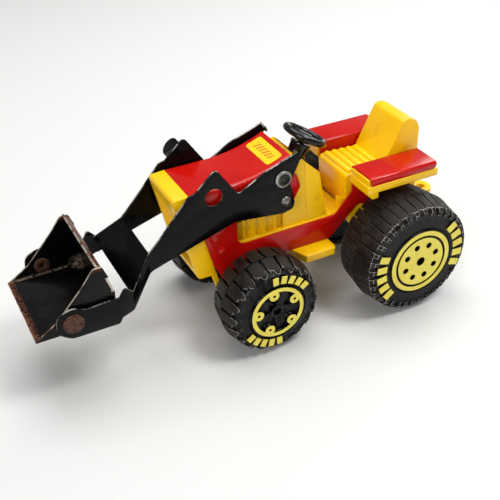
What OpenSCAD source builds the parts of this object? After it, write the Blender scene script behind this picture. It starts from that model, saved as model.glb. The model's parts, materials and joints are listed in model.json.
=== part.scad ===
// Toy wheel loader: pressed-steel hood and loader on moulded plastic bodywork.
// Forward is -X, the toy's left side is -Y and +Z is up. Z = 0 is the ground.

/* [Rear wheels] */
// Outer radius of a rear wheel
rear_r = 30; // [28:0.5:31]
// Height and distance behind the toy's middle of the rear axle
rear_axle_x = 71; // [69:0.5:73]
// Distance from the toy's middle plane to a rear wheel's outer face
rear_face_y = 47.4; // [44:0.2:50]
// Width of a rear wheel
rear_wheel_w = 27.4; // [22:0.2:28]

/* [Front wheels] */
// Outer radius of a front wheel
front_r = 24; // [22:0.5:24.5]
// Place of the front axle along the toy
front_axle_x = -4.6; // [-6:0.2:-3]
// Distance from the toy's middle plane to a front wheel's outer face
front_face_y = 41.9; // [38:0.2:44]
// Width of a front wheel
front_wheel_w = 21.9; // [18:0.2:22.4]

/* [Axles and rivets] */
// Radius of both axle rods
axle_r = 2; // [1.5:0.1:2.2]
// Radius added to a hole for a part that turns in it
running_gap = 0.05; // [0.02:0.01:0.09]
// Shank radius of the loader's pivot rivets
lift_rivet_r = 2.2; // [1.8:0.1:2.4]
// Shank radius of the bucket's rivets
bucket_rivet_r = 2.4; // [2:0.1:2.6]

/* [Pressed steel] */
// Thickness of every steel sheet
sheet = 0.9; // [0.6:0.1:1]
// Outer half width of the hood
hood_half_w = 15; // [15:0.1:15.2]
// Height of the hood's front edge
hood_front_z = 79.5; // [79:0.5:80]
// Radius of the hood's long folds
fold_r = 2; // [1.2:0.2:2.4]
// Outer half width across the loader's arms
arms_half_w = 17.6; // [17.4:0.1:17.9]
// Half width of the bucket over its side plates
bucket_half_w = 24; // [23:0.5:24]

/* [Bodywork] */
// Height of the cab floor's upper face
floor_z = 48; // [47.5:0.5:48]
// Half width of the nose moulding
nose_half_w = 14; // [13:0.2:14.2]
// Half width of the seat
seat_half_w = 12.6; // [11:0.2:13]
// Outer radius of the steering wheel
steer_r = 11.3; // [9:0.1:11.5]
// Backward lean of the steering column, in degrees
steer_lean = 30; // [25:1:32]

/* [Hidden] */

$fn = 72;
red = "#B8140C";
yellow = "#F5BE00";
foil_yellow = "#E8DA55";
black = "#121212";
tyre_black = "#1B1A18";
steel = "#8C8A86";
rust = "#5A3A28";

touch = 0.02;              // gap between faces that lie against each other
through = 60;              // length of a cutter that passes right through

lift_pivot = [11.5, 77.6];
bucket_pivot = [-94.3, 41.5];
front_axle_at = [front_axle_x, front_r];
rear_axle_at = [rear_axle_x, rear_r];

hood_inner_w = hood_half_w - sheet;
hood_flat_x = -14;         // the hood is level in front of this place
hood_rear_x = 17.3;
hood_arc_r = 72;           // and rises behind it along this radius
hood_front = [-33.3, 79.5];
front_edge_run = 13.5;     // the slanted front edge goes back this far
front_edge_drop = 54.5;    // over this height
front_edge_angle = atan2(front_edge_run, front_edge_drop);

fender_front_x = 51;
fender_rear_x = 88.3;
fender_top_z = 72.3;
fender_half_w = 30.7;
skirt_z = 68.5;

arms_inner_w = arms_half_w - sheet;
foot_half_w = 25.9;        // outer half width over the foot plates
flare_x = [-55.7, -67.3];  // where the arms begin and end their outward step
bucket_inner_w = bucket_half_w - sheet;

floor_half_w = hood_inner_w - 0.1;
foil_t = 0.12;
steer_centre = [33, 86.7];
column_r = 3;              // stem of the column, inside the dash
column_foot_r = 6.2;
column_foot_z = -12.4;     // along the column from the wheel's centre

// --- helpers -------------------------------------------------------------

function unit(v) = v / norm(v);
function turned(a) = a > 180 ? a - 360 : a < -180 ? a + 360 : a;

// Points of a corner c between p and n, rounded to radius r.
function corner(p, c, n, r, steps = 6) =
    r == 0 ? [c] :
    let (
        u = unit(p - c),
        v = unit(n - c),
        half = acos(min(1, max(-1, u * v))) / 2,
        reach = min(r / tan(half), 0.48 * norm(p - c), 0.48 * norm(n - c)),
        rr = reach * tan(half),
        o = c + unit(u + v) * rr / sin(half),
        a = c + u * reach - o,
        b = c + v * reach - o,
        start = atan2(a[1], a[0]),
        sweep = turned(atan2(b[1], b[0]) - start)
    )
    [for (i = [0 : steps]) o + rr * [cos(start + sweep * i / steps), sin(start + sweep * i / steps)]];

// An outline given as [x, z, corner radius] entries.
function outline(pts) = [
    for (i = [0 : len(pts) - 1])
        let (
            c = [pts[i][0], pts[i][1]],
            p = pts[(i + len(pts) - 1) % len(pts)],
            n = pts[(i + 1) % len(pts)]
        )
        each corner([p[0], p[1]], c, [n[0], n[1]], pts[i][2])
];

// Height of the hood's outer face at x.
function hood_z(x) = x < hood_flat_x ? hood_front_z
    : hood_front_z + hood_arc_r - sqrt(pow(hood_arc_r, 2) - pow(x - hood_flat_x, 2));

// X of the frame's slanted front edge at height z.
function front_edge_x(z) = hood_front[0] + front_edge_run * (hood_front[1] - z) / front_edge_drop;

// A side-view outline given thickness along Y, from y0 to y1.
module slab(points, y0, y1) {
    translate([0, y1, 0]) rotate([90, 0, 0]) linear_extrude(height = y1 - y0) polygon(points);
}

// A cylinder along Y from y0 to y1 at [x, z].
module rod(at, r, y0, y1) {
    translate([at[0], y1, at[1]]) rotate([90, 0, 0]) cylinder(r = r, h = y1 - y0);
}

module right_side() {
    mirror([0, 1, 0]) children();
}

module both_sides() {
    children();
    right_side() children();
}

// --- hood and frame ------------------------------------------------------

module hood_section() {
    leg = 6;
    inner_fold = fold_r - sheet;
    polygon(concat(
        outline([
            [-leg, -hood_half_w, 0], [0, -hood_half_w, fold_r], [0, hood_half_w, fold_r], [-leg, hood_half_w, 0],
            [-leg, hood_inner_w, 0], [-sheet, hood_inner_w, inner_fold], [-sheet, -hood_inner_w, inner_fold],
            [-leg, -hood_inner_w, 0]
        ])
    ));
}

module hood_top() {
    arc_angle = asin((hood_rear_x - hood_flat_x) / hood_arc_r);
    front_len = hood_flat_x - hood_front[0];
    translate([hood_front[0], 0, hood_front_z])
        rotate([0, -90, 180]) linear_extrude(height = front_len) hood_section();
    translate([hood_flat_x, 0, hood_front_z + hood_arc_r]) rotate([90, 90, 0])
        rotate_extrude(angle = arc_angle, $fn = 240) translate([hood_arc_r, 0]) mirror([1, 0]) hood_section();
}

module frame_side() {
    top_inset = 3;
    top_edge = [for (i = [0 : 6]) let (x = hood_flat_x + (hood_rear_x - hood_flat_x - 1) * i / 6)
        [x, hood_z(x) - top_inset]];
    points = concat(
        [[hood_front[0] + 0.5, hood_front_z - top_inset]],
        top_edge,
        outline([
            [19.2, 80, 2], [22.2, 69.5, 3], [18, 62, 3], [-11, 62, 3], [-11, 47, 4.5], [42, 47.5, 4],
            [51.5, 58, 3], [fender_front_x, 66, 1], [fender_front_x, fender_top_z - sheet / 2, 0],
            [fender_rear_x, fender_top_z - sheet / 2, 0], [fender_rear_x, 60, 3], [84, 44, 6],
            [79, 22.5, 6], [63, 22.5, 6], [61, 44, 6], [57, 52, 3], [39, 35, 3], [11, 35, 8],
            [3.5, 16.5, 6], [-17.6, 16.5, 3]
        ]),
        [[front_edge_x(40), 40]]
    );
    slab(points, -hood_half_w, -hood_inner_w);
}

// Fender cover: a flange folded out from the side wall, with a skirt folded down along its outer edge.
module fender_cover() {
    notch = 0.8;
    under_z = fender_top_z - sheet;
    // end view of the bent sheet, from the wall's fold to the skirt's lower edge
    section = outline([
        [-hood_inner_w, fender_top_z - 3, 0], [-hood_inner_w, fender_top_z, 1.2],
        [-fender_half_w, fender_top_z, 1.6], [-fender_half_w, skirt_z, 0],
        [-fender_half_w + sheet, skirt_z, 0], [-fender_half_w + sheet, under_z, 0.7],
        [-hood_half_w, under_z, 0.4], [-hood_half_w, fender_top_z - 3, 0]
    ]);
    intersection() {
        translate([fender_front_x, 0, 0]) rotate([90, 0, 90])
            linear_extrude(height = fender_rear_x - fender_front_x) polygon(section);
        // the skirt's lower corners are rounded, and it starts behind a small relief notch
        slab(outline([
            [fender_front_x, 75, 0], [fender_front_x, fender_top_z - 3, 0], [fender_front_x + notch, fender_top_z - 3, 0],
            [fender_front_x + notch, skirt_z, 1], [fender_rear_x, skirt_z, 2], [fender_rear_x, 75, 0]
        ]), -fender_half_w - 1, -hood_inner_w + 1);
    }
}

module hood_frame() {
    dimples = [[-21.6, 54], [-19, 46.5]];
    color(red) difference() {
        union() {
            hood_top();
            both_sides() {
                frame_side();
                fender_cover();
                for (at = dimples) translate([at[0], -hood_half_w + 1.2, at[1]]) sphere(r = 2, $fn = 32);
            }
        }
        // the dimples stay hollow-backed, so nothing stands inside the side walls
        translate([-40, -hood_inner_w, 10]) cube([40, 2 * hood_inner_w, 60]);
        // the sheet is cut off along the slanted front edge
        translate([hood_front[0], 0, hood_front[1]]) rotate([0, -front_edge_angle, 0])
            translate([-20, -through / 2, -80]) cube([20, through, 100]);
        rod(lift_pivot, lift_rivet_r + touch, -through / 2, through / 2);
        rod(front_axle_at, axle_r + running_gap, -through / 2, through / 2);
        rod(rear_axle_at, axle_r + running_gap, -through / 2, through / 2);
    }
}

// --- yellow bodywork -----------------------------------------------------

module nose_grille() {
    rim = 2.4;
    edge_gap = 0.05;
    bottom_z = 34;
    strip_z = 20.8;
    body = outline([
        [front_edge_x(79.3) - edge_gap, 79.3, 0], [-41.3, 78.8, 1.5], [-31.5, bottom_z, 2.5],
        [front_edge_x(bottom_z) - edge_gap, bottom_z, 0]
    ]);
    color(yellow) {
        difference() {
            slab(body, -nose_half_w, nose_half_w);
            // the recessed grille panel
            slab([[-45, 72.5], [-38, 71.5], [-30.2, 39.5], [-40, 37]], -nose_half_w + rim, nose_half_w - rim);
        }
        // upright bars in the recess
        for (y = [-8 : 4 : 8])
            slab([[-38.6, 72.2], [-37.6, 72.2], [-29.6, 39], [-30.6, 38.6]], y - 0.6, y + 0.6);
        // narrow strips that follow the frame's front edges down
        both_sides() slab([
            [front_edge_x(bottom_z) - 2.6, bottom_z + 1], [front_edge_x(bottom_z) - edge_gap, bottom_z + 1],
            [front_edge_x(23.5) - edge_gap, 23.5], [front_edge_x(strip_z) - 2.2, strip_z]
        ], -nose_half_w, -nose_half_w + 2.2);
    }
}

module engine_block() {
    half_w = 9.6;
    rib_x = [-7, -1.5, 4, 9.5];
    color(yellow) {
        slab(outline([
            [front_edge_x(floor_z) + 1, floor_z + touch, 0], [front_edge_x(77) + 1, 77, 0],
            [hood_flat_x + 3, 77, 0], [14, 80, 0], [14, floor_z + touch, 0]
        ]), -half_w, half_w);
        // side casings with upright ribs
        both_sides() {
            slab(outline([[-20, floor_z + touch, 0], [-20, 56, 2], [14, 58, 2], [14, floor_z + touch, 0]]),
                -half_w - 1.6, -half_w + 0.1);
            for (x = rib_x) translate([x, -half_w - 2.6, floor_z + touch]) cube([1.6, 2.8, 12]);
        }
    }
}

module cab_floor() {
    color(yellow) difference() {
        translate([-21.5, -floor_half_w, floor_z - 2.5]) cube([71, 2 * floor_half_w, 2.5]);
        // shallow anti-slip grooves in the foot well
        for (x = [40 : 2.2 : 46]) translate([x, -10, floor_z - 0.5]) cube([1, 20, 1]);
    }
}

module step_pan() {
    top_z = 35 - touch;
    bottom_z = 30.8;
    step_y = 23.2;
    plan = concat(
        outline([[18, -15, 0], [21.5, -step_y, 1], [38.5, -step_y, 2.2], [38.5, -15, 0]]),
        outline([[38.5, 15, 0], [38.5, step_y, 2.2], [21.5, step_y, 1], [18, 15, 0]])
    );
    color(yellow) difference() {
        translate([0, 0, bottom_z]) linear_extrude(height = top_z - bottom_z) polygon(plan);
        // the tray is open below
        translate([20, -13, bottom_z - 1]) cube([16, 26, 3.4]);
    }
}

// Steering axis frame: local Z runs up the column from the wheel's centre.
module on_column() {
    translate([steer_centre[0], 0, steer_centre[1]]) rotate([0, steer_lean, 0]) children();
}

module dash() {
    wing_y = 13.1;
    wing_t = 1.8;
    front_x = 17.9;
    bulkhead_x = 24;
    color(yellow) difference() {
        union() {
            // bulkhead behind the hood
            slab(outline([
                [front_x, floor_z + touch, 0], [front_x, 82, 0.8], [bulkhead_x - 0.6, 82.4, 1],
                [bulkhead_x, 79, 0], [bulkhead_x, floor_z + touch, 0]
            ]), -wing_y + wing_t, wing_y - wing_t);
            both_sides() {
                slab(outline([
                    [14.2, floor_z + touch, 0], [14.2, 76, 0], [front_x + 0.6, 82, 1], [23.5, 82.6, 1.5],
                    [33.7, 72.7, 2], [36.2, 58.4, 6], [38.6, floor_z + touch, 0]
                ]), -wing_y, -wing_y + wing_t);
                // the wing's rear half stands slightly proud of its front half
                slab(outline([
                    [27.4, floor_z + touch, 0], [25.2, 80, 0], [26.4, 79.4, 0], [33.4, 72.6, 2], [35.9, 58.4, 6],
                    [38.3, floor_z + touch, 0]
                ]), -wing_y - 0.4, -wing_y);
            }
            // boss that carries the steering column
            on_column() translate([0, 0, -24]) cylinder(r = 5.4, h = 11.5);
        }
        on_column() translate([0, 0, -30]) cylinder(r = column_r + touch, h = 40);
        // seat for the column's flared foot
        on_column() translate([0, 0, column_foot_z - touch]) cylinder(r = column_foot_r + 0.1, h = 20);
        translate([10, -11.3, floor_z - 10]) cube([front_x - 10, 22.6, 60]);
    }
}

module seat_cushion_ribs() {
    for (i = [0 : 4]) translate([52.6 + 4.2 * i, 0, 66.2 - 0.2 * i]) rotate([90, 0, 0])
        cylinder(r = 1.9, h = 2 * seat_half_w - 3, center = true, $fn = 32);
}

module seat() {
    color(yellow) {
        // cushion, with its front face standing on the floor
        slab(outline([
            [50.4, floor_z + touch, 0], [48.6, 66.6, 2.5], [74, 65.8, 0], [74, floor_z + touch, 0]
        ]), -seat_half_w, seat_half_w);
        seat_cushion_ribs();
        // wedge-shaped backrest
        intersection() {
            slab(outline([
                [73, 64.6, 0], [70.6, 66.2, 0], [81.6, 88.6, 4], [88.4, 86.4, 4], [90.4, 82, 3], [90.4, 64.6, 0]
            ]), -seat_half_w, seat_half_w);
            rotate([90, 0, 90]) linear_extrude(height = 120)
                polygon(outline([
                    [-seat_half_w, 60, 0], [-seat_half_w + 0.3, 90.6, 3.6], [seat_half_w - 0.3, 90.6, 3.6],
                    [seat_half_w, 60, 0]
                ]));
        }
        // boss at the foot of the seat
        translate([48.8, -9, floor_z + touch]) cylinder(r = 2.6, h = 5);
    }
}

module rear_body() {
    wall = 1.8;
    color(yellow) difference() {
        slab(outline([
            [51.5, 38.6, 1], [51.5, floor_z - touch, 0], [74.2, floor_z - touch, 0], [74.2, 64.5, 0],
            [90.2, 64.5, 0], [90.2, 52, 4], [86, 38.6, 2]
        ]), -floor_half_w, floor_half_w);
        // open below, so the moulding is a shell
        translate([51.5 + wall, -floor_half_w + wall, 37])
            cube([32, 2 * (floor_half_w - wall), floor_z - 37 - wall]);
        translate([74.2 + wall, -floor_half_w + wall, 45]) cube([11, 2 * (floor_half_w - wall), 17.5]);
    }
}

// A mudguard moulding that fills the steel cover and hangs below its skirt.
module fender() {
    inner_y = hood_half_w + touch;
    cover_in_y = fender_half_w - sheet - touch;
    outer_y = 30.9;
    under_z = 64.6;
    top_z = fender_top_z - sheet - touch;
    lip_z = skirt_z - touch;
    module block(x0, x1, z0, z1, y) {
        translate([x0, -y, z0]) cube([x1 - x0, y - inner_y, z1 - z0]);
    }
    color(yellow) difference() {
        union() {
            // its upper edges are rounded, to sit inside the folds of the cover
            translate([fender_front_x - 0.9, 0, 0]) rotate([90, 0, 90])
                linear_extrude(height = fender_rear_x - fender_front_x + 0.9) polygon(outline([
                    [-cover_in_y, lip_z - 0.5, 0], [-cover_in_y, top_z, 0.8],
                    [-inner_y, top_z, 0.5], [-inner_y, lip_z - 0.5, 0]
                ]));
            block(fender_front_x - 0.9, fender_rear_x + 1.2, under_z, lip_z, outer_y);
            // the front end drops down ahead of the tyre
            slab(outline([
                [fender_front_x - 1.6, lip_z, 0], [fender_front_x - 1.6, 64.6, 1], [fender_front_x + 1, 61.6, 1],
                [55.4, 61.6, 0.5], [55.4, lip_z, 0]
            ]), -outer_y, -inner_y);
        }
        // the underside is hollow
        translate([57, -outer_y + 1.8, 60]) cube([fender_rear_x - 58.6, outer_y - inner_y - 3.6, 9.6]);
    }
}

module fender_left() {
    fender();
}

module fender_right() {
    right_side() fender();
}

module drawbar() {
    hole_x = 105.4;
    half_w = 5.6;
    thick = 2.5;
    top_z = 38.5;
    color(yellow) difference() {
        union() {
            translate([62, -half_w, top_z - thick]) cube([hole_x - 62, 2 * half_w, thick]);
            translate([hole_x, 0, top_z - thick]) cylinder(r = half_w, h = thick);
            // stiffening rib below
            translate([66, -0.9, top_z - thick - 1.6]) cube([30, 1.8, 1.7]);
        }
        translate([hole_x, 0, 20]) cylinder(r = 2.2, h = 30);
    }
}

module hood_decal() {
    length = 22;
    x0 = 7;
    x1 = 15;
    lift = touch;
    steps = 8;
    top = [for (i = [0 : steps]) let (x = x0 + (x1 - x0) * i / steps) [x, hood_z(x) + lift + foil_t]];
    under = [for (i = [steps : -1 : 0]) let (x = x0 + (x1 - x0) * i / steps) [x, hood_z(x) + lift]];
    color(yellow) intersection() {
        slab(concat(top, under), -length / 2, length / 2);
        linear_extrude(height = 120) polygon(outline([
            [x0, -length / 2, 1.4], [x0, length / 2, 1.4], [x1, length / 2, 1.4], [x1, -length / 2, 1.4]
        ]));
    }
}

// --- steering ------------------------------------------------------------

module steering_column() {
    color(black) on_column() difference() {
        union() {
            translate([0, 0, -24]) cylinder(r = column_r, h = 18);
            translate([0, 0, column_foot_z]) cylinder(r1 = column_foot_r, r2 = 4.4, h = 3.6);
            translate([0, 0, -8.8]) cylinder(r1 = 4.4, r2 = 5.2, h = 5);
        }
        translate([0, 0, -22]) cylinder(r = 1.6 + running_gap, h = 30);
    }
}

module steering_wheel() {
    rim_r = 1.7;
    hub_r = 3.4;
    color(black) on_column() {
        rotate_extrude() translate([steer_r - rim_r, 0]) circle(r = rim_r, $fn = 24);
        for (a = [90, 210, 330]) rotate([0, 0, a]) translate([0, -1.5, -1]) cube([steer_r - rim_r, 3, 1.5]);
        translate([0, 0, -3.4]) cylinder(r = hub_r, h = 4.4);
        translate([0, 0, -21]) cylinder(r = 1.6, h = 20);
    }
}

// --- loader --------------------------------------------------------------

module lift_rivet() {
    head_r = 4.2;
    color(steel) {
        rod(lift_pivot, lift_rivet_r, -arms_half_w - 0.1, -hood_inner_w + 0.1);
        // flanged outer head with a softened rim
        translate([lift_pivot[0], -arms_half_w - 0.05, lift_pivot[1]]) rotate([90, 0, 0])
            rotate_extrude() polygon([[0, 0], [head_r, 0], [head_r, 0.7], [head_r - 0.5, 1.1], [0, 1.3]]);
        rod(lift_pivot, 3.4, -hood_inner_w + touch, -hood_inner_w + 0.9);
    }
}

module lift_rivet_left() {
    lift_rivet();
}

module lift_rivet_right() {
    right_side() lift_rivet();
}

module lift_washers() {
    color(steel) both_sides() difference() {
        rod(lift_pivot, 4.4, -arms_inner_w + 0.06, -hood_half_w - touch);
        rod(lift_pivot, lift_rivet_r + touch, -through, 0);
    }
}

module arm_side_view() {
    polygon(outline([
        [-21.5, 91.6, 2.2], [-10.9, 75.9, 2], [2, 83.2, 3], [18.3, 88.9, 0.6], [20.2, 84.9, 0.6],
        [15.2, 74.5, 2], [17.7, 64, 0], [16.9, 60.6, 2], [11.6, 59.3, 2], [1.7, 60.5, 8], [-13, 62.3, 8],
        [-28.3, 57.5, 10], [-54.3, 49.5, 6], [-66.8, 38.6, 3], [-72.8, 36.2, 1], [-74.2, 33.5, 1.5],
        [-96, 33.5, 6], [-101.8, 38, 5], [-101.2, 46.5, 5], [-94, 49, 5], [-88, 46.4, 3], [-73, 47, 0.8],
        [-70.4, 51.6, 1.2], [-66.6, 47.6, 0], [-55.3, 58.8, 1], [-50, 64.2, 0], [-34.9, 81.4, 1],
        [-31.6, 82.2, 1]
    ]));
}

// The left arm's strip seen from above: straight, stepped outward, then straight along the bucket.
module arm_plan_view() {
    step_angle = atan2(foot_half_w - arms_half_w, flare_x[0] - flare_x[1]);
    miter = sheet * tan(step_angle / 2);
    polygon([
        [40, -arms_half_w], [flare_x[0], -arms_half_w], [flare_x[1], -foot_half_w], [-110, -foot_half_w],
        [-110, -foot_half_w + sheet], [flare_x[1] - miter, -foot_half_w + sheet],
        [flare_x[0] - miter, -arms_inner_w], [40, -arms_inner_w]
    ]);
}

module arm() {
    intersection() {
        translate([0, through, 0]) rotate([90, 0, 0]) linear_extrude(height = 2 * through) arm_side_view();
        linear_extrude(height = 120) arm_plan_view();
    }
}

// Thumb tab folded inward from the arm's rear tip.
module lever_tab() {
    angle = atan2(4, 1.9);
    reach = 4.2;
    length = 4.4;
    translate([18.3, -arms_half_w, 88.9]) rotate([0, angle, 0]) {
        cube([length, reach - 1.6, sheet]);
        translate([0.9, reach - 1.7, 0]) cube([length - 1.8, 1.7, sheet]);
    }
}

// Half-round finger tab folded outward from the right arm's ear.
module finger_tab() {
    tab_r = 4.5;
    reach = 3.6;
    translate([-26.9, arms_inner_w, 86.4]) rotate([0, -45, 0]) translate([0, 0, -sheet]) {
        translate([-tab_r, 0, 0]) cube([2 * tab_r, reach + sheet, sheet]);
        translate([0, reach + sheet, 0]) cylinder(r = tab_r, h = sheet);
    }
}

// Cross web between the arms, as wide as the outward step lets it be.
module arm_web() {
    intersection() {
        slab([[-55.3, 58.8], [-67.6, 46.7], [-66.9, 46], [-54.6, 58.1]], -through, through);
        linear_extrude(height = 120) polygon([
            [-54, -arms_half_w + 0.4], [flare_x[0], -arms_half_w + 0.4], [flare_x[1], -foot_half_w + 0.4],
            [-70, -foot_half_w + 0.4], [-70, foot_half_w - 0.4], [flare_x[1], foot_half_w - 0.4],
            [flare_x[0], arms_half_w - 0.4], [-54, arms_half_w - 0.4]
        ]);
    }
}

module loader_arms() {
    ear_hole = [-23.1, 77.8];
    pip = [13.2, 65.3];
    color(black) difference() {
        union() {
            both_sides() {
                arm();
                lever_tab();
            }
            arm_web();
            finger_tab();
        }
        rod(lift_pivot, lift_rivet_r + running_gap, -through, through);
        rod(bucket_pivot, bucket_rivet_r + touch, -through, through);
        rod(pip, 1.5, -through, through);
        rod(ear_hole, 4.3, -through, 0);
    }
}

module detent_pips() {
    pip = [13.2, 65.3];
    head_r = 2.6;
    dome_r = 3.2;
    dome_drop = sqrt(dome_r * dome_r - head_r * head_r);
    color(steel) both_sides() {
        rod(pip, 1.5, -arms_half_w - 0.1, -hood_half_w - 0.5);
        intersection() {
            translate([pip[0], -arms_half_w + dome_drop - touch, pip[1]]) sphere(r = dome_r, $fn = 48);
            rod(pip, head_r, -arms_half_w - 4, -arms_half_w - touch);
        }
    }
}

module bucket_tray() {
    lip_x = -111;
    back_x = -75;
    floor_low = 35.5;
    side = outline([
        [lip_x + 1, floor_low, 0], [lip_x + 1, floor_low + 1, 0.4], [-100.6, 42.7, 8], [-87.8, 56.6, 10],
        [-82, 64.2, 3.5], [-78.2, 63.6, 1.2], [-74.1, 52.8, 1], [back_x + 0.2, floor_low, 1.4]
    ]);
    slot = [[-73.9, 50.1], [-73.9, 57.9], [-78, 57.9], [-76, 50.1]];
    color(black) difference() {
        union() {
            translate([lip_x, -bucket_half_w, floor_low]) cube([back_x - lip_x, 2 * bucket_half_w, sheet]);
            both_sides() slab(side, -bucket_half_w, -bucket_inner_w);
        }
        rod(bucket_pivot, bucket_rivet_r + running_gap, -through, through);
        // slots for the back plate's tabs
        both_sides() slab(slot, -bucket_half_w - 1, -bucket_inner_w + 0.1);
    }
}

module bucket_back() {
    half_w = bucket_inner_w - touch;
    plate = [
        [-75, 36.4 + touch], [-75, 52], [-78.3, 63], [-80.6, 65.2], [-81.2, 64.5], [-79.1, 62.5],
        [-75.9, 51.8], [-75.9, 36.4 + touch]
    ];
    color(black) {
        slab(plate, -half_w, half_w);
        // tabs that pass through the side plates
        intersection() {
            slab(plate, -bucket_half_w - 0.5, bucket_half_w + 0.5);
            translate([-90, -through / 2, 50.2]) cube([30, through, 7.6]);
        }
    }
}

module bucket_rivets() {
    head_r = 4.75;
    inner_y = bucket_inner_w - 0.3;
    color(rust) both_sides() difference() {
        union() {
            rod(bucket_pivot, bucket_rivet_r, -foot_half_w - 0.1, -inner_y);
            translate([bucket_pivot[0], -foot_half_w - touch, bucket_pivot[1]]) rotate([90, 0, 0])
                rotate_extrude() polygon([[0, 0], [head_r, 0], [head_r, 0.8], [head_r - 0.5, 1.2], [0, 1.4]]);
            rod(bucket_pivot, 3.8, -inner_y, -inner_y + 0.8);
        }
        rod(bucket_pivot, 1.5, -foot_half_w + 1, 0);
    }
}

module bucket_washers() {
    gap = 0.06;
    color(steel) both_sides() difference() {
        rod(bucket_pivot, 4.4, -foot_half_w + sheet + touch, -bucket_half_w - gap);
        rod(bucket_pivot, bucket_rivet_r + touch, -through, 0);
    }
}

// --- wheels --------------------------------------------------------------

// Puts a wheel made around local Z, with its outer face up, on the left side.
module left_wheel(axle) {
    translate([axle[0], 0, axle[1]]) rotate([90, 0, 0]) children();
}

// A blow-moulded wheel with a sealed cavity. hub_y is where its spacer boss ends.
module wheel(r, face_y, width, hub_y, rim_r) {
    mid_y = face_y - width * 0.52;
    inner_y = face_y - width;
    shoulder_y = face_y - 2.2;
    boss_r = 5;
    dish_r = r - 5;
    dish = 1.5;
    wall = 1.8;
    cavity_top_y = face_y - 6;
    difference() {
        rotate_extrude($fn = 120) polygon(concat(
            [[axle_r, hub_y], [boss_r, hub_y], [boss_r, inner_y + dish], [dish_r, inner_y + dish],
                [dish_r, inner_y]],
            outline([[r - 1.6, inner_y, 1.2], [r - 0.5, mid_y - 3, 8], [r, mid_y, 0], [r - 0.6, mid_y + 3, 8],
                [r - 1.8, shoulder_y, 1.6], [r - 4, face_y - 0.5, 1.4]]),
            [[rim_r + 1.6, face_y - 0.5], [rim_r + 1, face_y - 1.2], [rim_r + 0.3, face_y - 1.2],
                [rim_r, face_y], [axle_r + 0.4, face_y], [axle_r + 0.4, face_y - 3], [axle_r, face_y - 3]]
        ));
        rotate_extrude($fn = 120) translate([boss_r + 1, inner_y + dish + wall])
            square([dish_r - boss_r - 2, cavity_top_y - inner_y - dish - wall]);
    }
}

rear_holes = 8;
rear_hole_r = 1.6;
rear_hole_pcd_r = 9;
rear_hole_turn = 19;       // angle of the first hole
rear_ring = [14.4, 16.7];
rear_disc_r = 13.1;

module rear_hole_pattern(depth) {
    for (i = [0 : rear_holes - 1]) rotate([0, 0, rear_hole_turn + 360 / rear_holes * i])
        translate([rear_hole_pcd_r, 0, rear_face_y - depth]) cylinder(r = rear_hole_r, h = depth + 1, $fn = 32);
}

module rear_wheel() {
    color(tyre_black) left_wheel(rear_axle_at) difference() {
        wheel(rear_r, rear_face_y, rear_wheel_w, hood_half_w + 0.4, rear_ring[1]);
        rear_hole_pattern(4);
        // groove between the ring and the hub disc
        translate([0, 0, rear_face_y - 1.4]) difference() {
            cylinder(r = rear_ring[0], h = 3);
            translate([0, 0, -1]) cylinder(r = rear_disc_r, h = 5);
        }
    }
}

// Raised marks round the side wall, in two opposite arcs.
module side_marks(turn, spread, r0, r1, width, face_y) {
    count = 5;
    for (side = [0, 180], i = [0 : count - 1])
        rotate([0, 0, turn + side + spread * (i / (count - 1) - 0.5)])
            translate([r0, -width / 2, face_y - 0.5 + touch]) cube([r1 - r0, width, 0.42]);
}

module rear_foil() {
    color(foil_yellow) left_wheel(rear_axle_at) {
        translate([0, 0, rear_face_y + touch]) difference() {
            cylinder(r = rear_ring[1], h = foil_t);
            translate([0, 0, -1]) cylinder(r = rear_ring[0], h = 3);
        }
        difference() {
            translate([0, 0, rear_face_y + touch]) cylinder(r = rear_disc_r, h = foil_t);
            translate([0, 0, rear_face_y - 1]) cylinder(r = axle_r + 0.4, h = 3);
            rear_hole_pattern(1);
        }
        side_marks(10, 58, 19.6, 24.9, 3.4, rear_face_y);
    }
}

module rear_wheel_left() {
    rear_wheel();
}

module rear_wheel_right() {
    right_side() rear_wheel();
}

module rear_foil_left() {
    rear_foil();
}

module rear_foil_right() {
    right_side() rear_foil();
}

front_ring = [11.5, 13.4];
lobes = 5;
lobe_r = 2.5;
lobe_at = 9.9;
lobe_turn = 29;            // angle of the first lobe

// The star-shaped sinking inside a front wheel's ring.
module star(z, h) {
    difference() {
        translate([0, 0, z]) cylinder(r = front_ring[0], h = h);
        for (i = [0 : lobes - 1]) rotate([0, 0, lobe_turn + 360 / lobes * i])
            translate([lobe_at, 0, z - 1]) cylinder(r = lobe_r, h = h + 2, $fn = 40);
    }
}

module front_wheel() {
    depth = 2.6;
    color(tyre_black) left_wheel(front_axle_at) {
        difference() {
            wheel(front_r, front_face_y, front_wheel_w, hood_half_w + 0.4, front_ring[1]);
            star(front_face_y - depth, depth + 1);
            for (i = [0 : lobes - 1]) rotate([0, 0, lobe_turn + 360 / lobes * i])
                translate([lobe_at, 0, front_face_y - 1]) cylinder(r = 0.75, h = 2, $fn = 24);
        }
        // hub and spokes in the sinking
        for (i = [0 : lobes - 1]) rotate([0, 0, lobe_turn + 360 / lobes * (i + 0.5)])
            translate([2.6, -1.9, front_face_y - depth - 0.3]) cube([9.2, 3.8, 1.5]);
        translate([0, 0, front_face_y - depth - 0.3]) difference() {
            cylinder(r = 3.2, h = 2.3);
            translate([0, 0, -1]) cylinder(r = axle_r, h = 5);
        }
    }
}

module front_foil() {
    color(foil_yellow) left_wheel(front_axle_at) {
        difference() {
            translate([0, 0, front_face_y + touch]) cylinder(r = front_ring[1], h = foil_t);
            star(front_face_y - 1, 3);
            for (i = [0 : lobes - 1]) rotate([0, 0, lobe_turn + 360 / lobes * i])
                translate([lobe_at, 0, front_face_y - 1]) cylinder(r = 0.75, h = 3, $fn = 24);
        }
        side_marks(65, 56, 15.4, 19.3, 2.7, front_face_y);
    }
}

module front_wheel_left() {
    front_wheel();
}

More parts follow.
